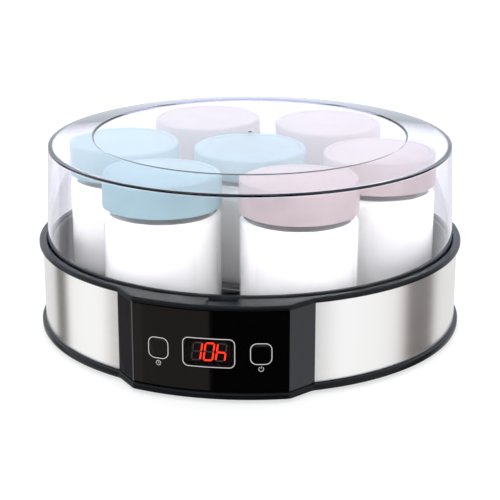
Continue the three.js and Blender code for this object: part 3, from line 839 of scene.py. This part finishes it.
def steel_band():
    end_deg = CHEEK_ROOT_DEG - 0.8
    inner, edge = BAND_R - BAND_THICKNESS, 0.12

    def section(degrees):
        return [
            (inner, SHELL_BOTTOM),
            (BAND_R - edge, SHELL_BOTTOM),
            (BAND_R, SHELL_BOTTOM + edge),
            (BAND_R, SHELL_TOP - edge),
            (BAND_R - edge, SHELL_TOP),
            (inner, SHELL_TOP),
        ]

    band = swept("band_sheet", angles_between(end_deg, 360 - end_deg, 360 / AROUND), section)
    back = on_panel(180, middle("cord_bush").z)
    carved(band, [extruded("outlet", circle(5.3, 32), back, BAND_R - 6, BAND_R + 3)])
    finished(band, "base", "band_steel", "steel_band")


def cord_bush():
    place = on_panel(180, middle("cord_bush").z)
    inner_low, inner_high = SKIRT_IN - 2.2, SKIRT_IN - 0.5
    outline = filleted(
        [
            (3.3, inner_low, 0.3),
            (6.4, inner_low, 0.4),
            (6.4, inner_high, 0.3),
            (5, inner_high),
            (5, BAND_R + CLEARANCE),
            (6.4, BAND_R + CLEARANCE, 0.3),
            (6.1, BAND_R + 1.6, 0.5),
            (3.3, BAND_R + 1.6, 0.5),
        ],
        3,
    )
    rings = [
        [place(r * math.cos(t), r * math.sin(t), distance) for r, distance in outline]
        for t in (2 * math.pi * k / 48 for k in range(48))
    ]
    finished(skin("bush_moulding", rings, closed=True), "base", "rubber_black", "cord_bush")


def rubber_foot(number):
    node = f"foot_{number}"
    ground, peg_top = bottom(node), top(node)
    radius = half_width(node)
    seat = PAN_FLOOR - CLEARANCE
    outline = filleted(
        [
            (0, ground + 0.5),
            (radius - 2.6, ground + 0.5, 0.2),
            (radius - 2.2, ground, 0.2),
            (radius - 0.6, ground, 0.5),
            (radius, seat, 0.4),
            (2, seat),
            (2, peg_top, 0.6),
            (0, peg_top),
        ],
        3,
    )
    piece = lathe(f"foot_moulding_{number}", outline, 48, middle(node))
    finished(piece, "base", "rubber_black", node)


def housing_screw(number):
    """A pan-head screw with a cross recess, pointing up."""
    node = f"housing_screw_{number}"
    head, tip = bottom(node), top(node)
    radius = half_width(node)
    neck, pitch = head + 2.4, 0.4
    turns = int((tip - neck - 1) / pitch)
    thread = [(1.5 if k % 2 else 1.25, neck + 0.4 + k * pitch) for k in range(turns)]
    outline = filleted([(0, head), (radius - 0.2, head, 1), (radius, neck, 0.2), (1.3, neck)], 3)
    outline += thread + [(0, tip)]
    centre = middle(node)
    screw = lathe(f"screw_{number}", outline, AROUND_PEG, centre)
    place = lambda u, v, depth: Vector((centre.x + u, centre.y + v, depth))
    slots = [
        extruded("slot", rounded_rectangle(width, height, 0.2, 2), place, head - 1, head + 1.3)
        for width, height in ((3.4, 0.8), (0.8, 3.4))
    ]
    for slot in slots:
        carved(screw, [slot])
    finished(screw, "base", "screw_steel", node)


# ---- Control bay ----
BUTTONS = {"time_button": -1, "power_button": 1}
BUTTON_FLANGE = 1.2
BUTTON_SIZE = top("power_button") - bottom("power_button") - 2 * BUTTON_FLANGE
BUTTON_DEG = math.degrees(
    math.atan2(middle("power_button").x, AXIS.y - middle("power_button").y)
)
LENS_WIDTH = 2 * half_width("display_lens")
LENS_HEIGHT = top("display_lens") - bottom("display_lens")
PANEL_CUT = (122, 140)  # from behind the frame to well before the panel
KEY_CUT = (120, 140)  # takes in the whole depth of a key's face


def button_prism(side, clearance, cut):
    size = BUTTON_SIZE + 2 * clearance
    outline = rounded_rectangle(size, size, 2.8 + clearance)
    return extruded("button_prism", outline, on_panel(side * BUTTON_DEG), *cut)


def lens_prism(clearance):
    width, height = LENS_WIDTH + 2 * clearance, LENS_HEIGHT + 2 * clearance
    return extruded(
        "lens_prism", rounded_rectangle(width, height, 2.4 + clearance), on_panel(), *PANEL_CUT
    )


def button_holes():
    return [button_prism(side, CLEARANCE, PANEL_CUT) for side in BUTTONS.values()]


def panel_sheet(name, inner, outer, half_deg, inset, edge=0.0):
    """A curved sheet across the panel, with its front edges eased."""
    low, high = SHELL_BOTTOM + inset, SHELL_TOP - inset
    lower, upper = [(outer, low)], [(outer, high)]
    if edge:
        lower = [(outer - edge, low), (outer, low + edge)]
        upper = [(outer, high - edge), (outer - edge, high)]
    outline = [(inner, low), *lower, *upper, (inner, high)]
    return swept(name, angles_between(-half_deg, half_deg, 0.5), lambda degrees: outline)


def panel_frame():
    seat_deg = FASCIA_HALF_DEG + 0.15
    front = softened(lambda degrees: bay_reach(degrees, PANEL_R, BAND_R + CLEARANCE), 0.3)
    root_r = CHEEK_ROOT.length

    def section(degrees):
        out = front(degrees)
        if abs(degrees) < seat_deg:
            out = FRAME_FRONT_R
        back = max(min(out, FRAME_FRONT_R) - 1.8, root_r - 4.5)
        return [(back, SHELL_BOTTOM), (out, SHELL_BOTTOM), (out, SHELL_TOP), (back, SHELL_TOP)]

    corner_deg = 17.9
    even = angles_between(-CHEEK_ROOT_DEG, CHEEK_ROOT_DEG, 0.6, (-corner_deg, corner_deg))
    piece = swept("bay_frame", with_jumps(even, (seat_deg, -seat_deg), 0.01), section)
    carved(piece, [*button_holes(), lens_prism(-0.8)])
    finished(piece, "base", "bay_grey", "panel_frame")


def control_fascia():
    sheet = panel_sheet(
        "fascia_sheet", FRAME_FRONT_R + CLEARANCE, PANEL_R, FASCIA_HALF_DEG, CLEARANCE, edge=0.25
    )
    carved(sheet, [*button_holes(), lens_prism(CLEARANCE)])
    finished(sheet, "base", "fascia_black", "control_fascia")


def display_lens():
    sheet = panel_sheet("lens_curved", FRAME_FRONT_R + CLEARANCE, PANEL_R - 0.1, 10, 2)
    carved(sheet, [lens_prism(0)], "INTERSECT")
    finished(sheet, "base", "lens_smoke", "display_lens")


def button(node, side):
    """A key whose face follows the panel, with the flange that keeps it in and its stem."""
    turn, place = side * BUTTON_DEG, on_panel(side * BUTTON_DEG)
    inner, front = FRAME_FRONT_R - 2.8, PANEL_R - 0.15
    low, high = CONTROLS_Z - 9, CONTROLS_Z + 9
    outline = [(inner, low), (front, low), (front, high), (inner, high)]
    angles = angles_between(turn - 5, turn + 5, 0.5)
    face = swept("button_sheet", angles, lambda degrees: outline)
    carved(face, [button_prism(side, 0, KEY_CUT)], "INTERSECT")
    bevelled(face, 0.35)
    stem = extruded("stem", rounded_rectangle(4, 4, 1), place, inner - 1.2, inner + 0.5)
    flange_size = BUTTON_SIZE + 2 * BUTTON_FLANGE
    flange_outline = rounded_rectangle(flange_size, flange_size, 2.8)
    flange = extruded("flange", flange_outline, place, inner - 0.4, inner + 0.3)
    finished(joined(f"{node}_key", [face, stem, flange]), node, "fascia_black", node)


PRINT_DEPTH = (PANEL_R - 0.06, PANEL_R + 0.04)
FRAME_WIDTH, ICON_WIDTH = 0.4, 0.28


def printed_frames():
    display = subdivided(rounded_rectangle(LENS_WIDTH + 1.5, LENS_HEIGHT + 1.5, 3))
    lines = [line("print", display, FRAME_WIDTH, wrapped(), *PRINT_DEPTH)]
    for side in BUTTONS.values():
        outline = subdivided(rounded_rectangle(BUTTON_SIZE + 1.3, BUTTON_SIZE + 1.7, 3.4))
        lines.append(line("print", outline, FRAME_WIDTH, wrapped(side * BUTTON_DEG), *PRINT_DEPTH))
    finished(joined("printed_frames", lines), "base", "print_white")


def printed_icons():
    """Plain clock and power signs under the buttons."""
    radius, height = 1.3, CONTROLS_Z - 8.4
    clock = wrapped(-BUTTON_DEG, height)
    power = wrapped(BUTTON_DEG, height)
    arc = [math.radians(125 + 290 * k / 20) for k in range(21)]
    strokes = [
        (circle(radius, 32), clock, True),
        ([(0, 0.85), (0, 0)], clock, False),
        ([(0.6, -0.3), (0, 0)], clock, False),
        ([(radius * math.cos(t), radius * math.sin(t)) for t in arc], power, False),
        ([(0, 1.5), (0, 0.2)], power, False),
    ]
    lines = [
        line("print", path, ICON_WIDTH, place, *PRINT_DEPTH, closed)
        for path, place, closed in strokes
    ]
    finished(joined("printed_icons", lines), "base", "print_white")


DIGIT_WIDTH, DIGIT_HEIGHT, DIGIT_PITCH = 4.7, 9.6, 6.5
SEGMENT_THICK, SEGMENT_GAP = 0.85, 0.22
SLANT = math.tan(math.radians(8))


def segment_outline(start, end, shift):
    """A six-sided bar between two points of a digit, leaning with it."""
    a, b = Vector(start), Vector(end)
    along = (b - a).normalized()
    across = Vector((-along.y, along.x)) * SEGMENT_THICK / 2
    a += along * SEGMENT_GAP
    b -= along * SEGMENT_GAP
    tip = along * SEGMENT_THICK / 2
    corners = [a, a + tip - across, b - tip - across, b, b - tip + across, a + tip + across]
    return [(shift + p.x + SLANT * p.y, p.y) for p in corners]


def digits():
    """Three seven-segment digits, which read ten hours."""
    w, h = DIGIT_WIDTH / 2, DIGIT_HEIGHT / 2
    bars = {
        "top": ((-w, h), (w, h)),
        "middle": ((-w, 0), (w, 0)),
        "bottom": ((-w, -h), (w, -h)),
        "high_left": ((-w, 0), (-w, h)),
        "high_right": ((w, 0), (w, h)),
        "low_left": ((-w, -h), (-w, 0)),
        "low_right": ((w, -h), (w, 0)),
    }
    one = {"high_right", "low_right"}
    zero = set(bars) - {"middle"}
    letter_h = {"high_left", "low_left", "middle", "low_right"}
    nose = AXIS.y - limits("display_module")[0].y
    pieces = {True: [], False: []}
    for place_index, lit_bars in zip((-1, 0, 1), (one, zero, letter_h)):
        for bar, (start, end) in bars.items():
            outline = segment_outline(start, end, place_index * DIGIT_PITCH)
            solid = extruded("segment", outline, on_panel(), nose - 0.05, nose + 0.15)
            pieces[bar in lit_bars].append(solid)
    finished(joined("digits_lit", pieces[True]), "base", "digit_red")
    finished(joined("digits_unlit", pieces[False]), "base", "digit_off")


# ---- CAD nodes that stay ----
KEPT_NODES = {
    "outlet_plate": "component_black",
    "heater_plate": "heater_aluminium",
    "heater_loop": "heater_aluminium",
    "temperature_sensor": "ceramic_cream",
    "thermal_fuse": "ceramic_cream",
    "power_board": "board_green",
    "control_board": "board_green",
    "relay": "relay_blue",
    "film_capacitor": "ceramic_cream",
    "mains_terminal": "component_black",
    "heater_lead_left": "wire_red",
    "heater_lead_right": "wire_red",
    "ribbon_cable": "ribbon_grey",
    "display_module": "component_black",
    "time_switch": "component_black",
    "power_switch": "component_black",
    **{f"heater_screw_{n}": "screw_steel" for n in (1, 2, 3)},
    **{f"power_board_screw_{n}": "screw_steel" for n in (1, 2)},
    **{f"control_board_screw_{side}": "screw_steel" for side in ("left", "right")},
}


def dress_kept_nodes():
    for node, slot in KEPT_NODES.items():
        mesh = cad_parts[node].data
        mesh.materials.clear()
        mesh.materials.append(MATERIALS[slot])


# ---- Assembly ----
clear_lid()
for place_name, cap_slot in JARS.items():
    jar(place_name)
    jar_cap(place_name, cap_slot)
jar_tray()
housing()
bottom_pan()
steel_band()
cord_bush()
for index in range(1, 5):
    rubber_foot(index)
    housing_screw(index)
panel_frame()
control_fascia()
display_lens()
for button_node, button_side in BUTTONS.items():
    button(button_node, button_side)
printed_frames()
printed_icons()
digits()
dress_kept_nodes()


# ---- Studio ----
SEEN_WHITE = 1.1  # what the camera sees past the floor
SOFT_LIGHT = 1.5
LIGHT_IN_JARS = 8.2  # makes up for what the layers of glass swallow
FACES_TO_JARS = 4.5  # a path to what is in or behind a covered jar passes more faces than this
WALLS_END, CEILING_START = -0.18, -0.09  # how steeply a reflection looks down


def studio_floor():
    """A pale floor that glows enough to stay white round the object."""
    size = 6  # metres
    mesh = bpy.data.meshes.new("studio_floor")
    corners = [(-size, -size, 0), (size, -size, 0), (size, size, 0), (-size, size, 0)]
    mesh.from_pydata(corners, [], [(0, 1, 2, 3)])
    floor = bpy.data.objects.new("studio_floor", mesh)
    bpy.context.scene.collection.objects.link(floor)
    glow = {"Emission_Color": (1, 1, 1, 1), "Emission_Strength": 0.65}
    surface = Surface("studio_floor", (0.35, 0.35, 0.35), Roughness=0.8, **glow)
    surface.varied_color(surface.noise(3), 0.004)
    mesh.materials.append(surface.material)
    floor.visible_glossy = False


# What the band, the cheeks and the panel mirror, by the angle from the camera's side.
STUDIO_WALLS = [
    (-180, 0.8, 0.8, 0.8),
    (-136, 0.74, 0.74, 0.74),
    (-132, 0.11, 0.09, 0.075),
    (-122, 0.11, 0.09, 0.075),
    (-118, 0.97, 0.97, 0.97),
    (-88, 0.97, 0.97, 0.97),
    (-82, 0.66, 0.64, 0.62),
    (-77, 0.48, 0.46, 0.43),
    (-56, 0.4, 0.38, 0.36),
    (-55, 0.32, 0.27, 0.27),
    (-20.5, 0.32, 0.27, 0.27),
    (-19.5, 0.0, 0.0, 0.0),
    (24, 0.0, 0.0, 0.0),
    (31, 0.42, 0.4, 0.39),
    (38, 0.68, 0.67, 0.66),
    (50, 0.97, 0.97, 0.97),
    (74, 0.93, 0.93, 0.93),
    (87, 0.85, 0.85, 0.84),
    (92, 0.62, 0.58, 0.57),
    (97, 0.14, 0.115, 0.1),
    (117, 0.13, 0.11, 0.1),
    (123, 0.6, 0.59, 0.57),
    (129, 0.76, 0.76, 0.75),
    (180, 0.8, 0.8, 0.8),
]


def studio_light():
    """A soft white room, whose walls and ceiling show only where something mirrors them.

    The camera sees plain white behind the object, and matt surfaces are lit evenly from all
    sides, with more light for what lies in or behind a jar under the lid.
    """
    world = bpy.data.worlds.new("studio")
    world.use_nodes = True
    bpy.context.scene.world = world
    nodes, links = world.node_tree.nodes, world.node_tree.links

    def math_node(operation, first, second=None, third=None):
        node = nodes.new("ShaderNodeMath")
        node.operation = operation
        for socket, value in zip(node.inputs, (first, second, third)):
            if isinstance(value, (int, float)):
                socket.default_value = value
            elif value is not None:
                links.new(value, socket)
        return node.outputs[0]

    def background(color, strength):
        node = nodes.new("ShaderNodeBackground")
        node.inputs["Color"].default_value = (*color, 1)
        node.inputs["Strength"].default_value = strength
        return node.outputs[0]

    def chosen(factor, otherwise, chosen_one):
        node = nodes.new("ShaderNodeMixShader")
        links.new(factor, node.inputs["Fac"])
        links.new(otherwise, node.inputs[1])
        links.new(chosen_one, node.inputs[2])
        return node.outputs[0]

    direction = nodes.new("ShaderNodeTexCoord").outputs["Generated"]
    split = nodes.new("ShaderNodeSeparateXYZ")
    links.new(direction, split.inputs[0])
    x, y, z = split.outputs
    azimuth = math_node("ARCTAN2", x, math_node("MULTIPLY", y, -1))
    turns = math_node("MULTIPLY_ADD", azimuth, 1 / (2 * math.pi), 0.5 - CAMERA_AZIMUTH / 360)
    walls = nodes.new("ShaderNodeValToRGB")
    links.new(math_node("FRACT", turns), walls.inputs["Fac"])
    stops = walls.color_ramp.elements
    while len(stops) > 1:
        stops.remove(stops[-1])
    for angle, *color in STUDIO_WALLS:
        stop = stops[0] if angle == -180 else stops.new((angle + 180) / 360)
        stop.position = (angle + 180) / 360
        stop.color = (*color, 1)

    height = nodes.new("ShaderNodeMapRange")
    height.interpolation_type = "SMOOTHSTEP"
    height.inputs["From Min"].default_value = WALLS_END
    height.inputs["From Max"].default_value = CEILING_START
    links.new(z, height.inputs["Value"])
    ceiling = nodes.new("ShaderNodeMix")
    ceiling.data_type = "RGBA"
    colors = [socket for socket in ceiling.inputs if socket.type == "RGBA"]
    links.new(height.outputs["Result"], ceiling.inputs["Factor"])
    links.new(walls.outputs["Color"], colors[0])
    colors[1].default_value = (1.1, 1.17, 1.3, 1)

    room = nodes["Background"]
    links.new([s for s in ceiling.outputs if s.type == "RGBA"][0], room.inputs["Color"])

    path = nodes.new("ShaderNodeLightPath")
    white = background((1, 1, 1), SEEN_WHITE)
    seen = chosen(path.outputs["Is Camera Ray"], room.outputs[0], white)
    in_jars = math_node("GREATER_THAN", path.outputs["Transmission Depth"], FACES_TO_JARS)
    outside = background((0.985, 0.99, 1), SOFT_LIGHT)
    inside = background((1, 0.985, 0.95), LIGHT_IN_JARS)
    lighting = math_node("GREATER_THAN", path.outputs["Diffuse Depth"], 0.5)
    surface = chosen(lighting, seen, chosen(in_jars, outside, inside))
    links.new(surface, nodes["World Output"].inputs["Surface"])


CAMERA_ELEVATION, FOCAL_LENGTH = 18.11, 109.2
CAMERA_DISTANCE, TARGET_HEIGHT = 0.910, 0.0419  # metres


def camera():
    lens = bpy.data.cameras.new("camera")
    lens.lens = FOCAL_LENGTH
    lens.sensor_width = 36
    lens.clip_end = 50
    eye = bpy.data.objects.new("camera", lens)
    bpy.context.scene.collection.objects.link(eye)
    azimuth, elevation = math.radians(CAMERA_AZIMUTH), math.radians(CAMERA_ELEVATION)
    target = Vector((AXIS.x * MM, AXIS.y * MM, TARGET_HEIGHT))
    away = Vector(
        (
            math.sin(azimuth) * math.cos(elevation),
            -math.cos(azimuth) * math.cos(elevation),
            math.sin(elevation),
        )
    )
    eye.location = target + away * CAMERA_DISTANCE
    eye.rotation_euler = away.to_track_quat("Z", "Y").to_euler()
    bpy.context.scene.camera = eye


studio_floor()
studio_light()
camera()
bpy.context.scene.view_settings.view_transform = "Standard"

bpy.context.view_layer.update()
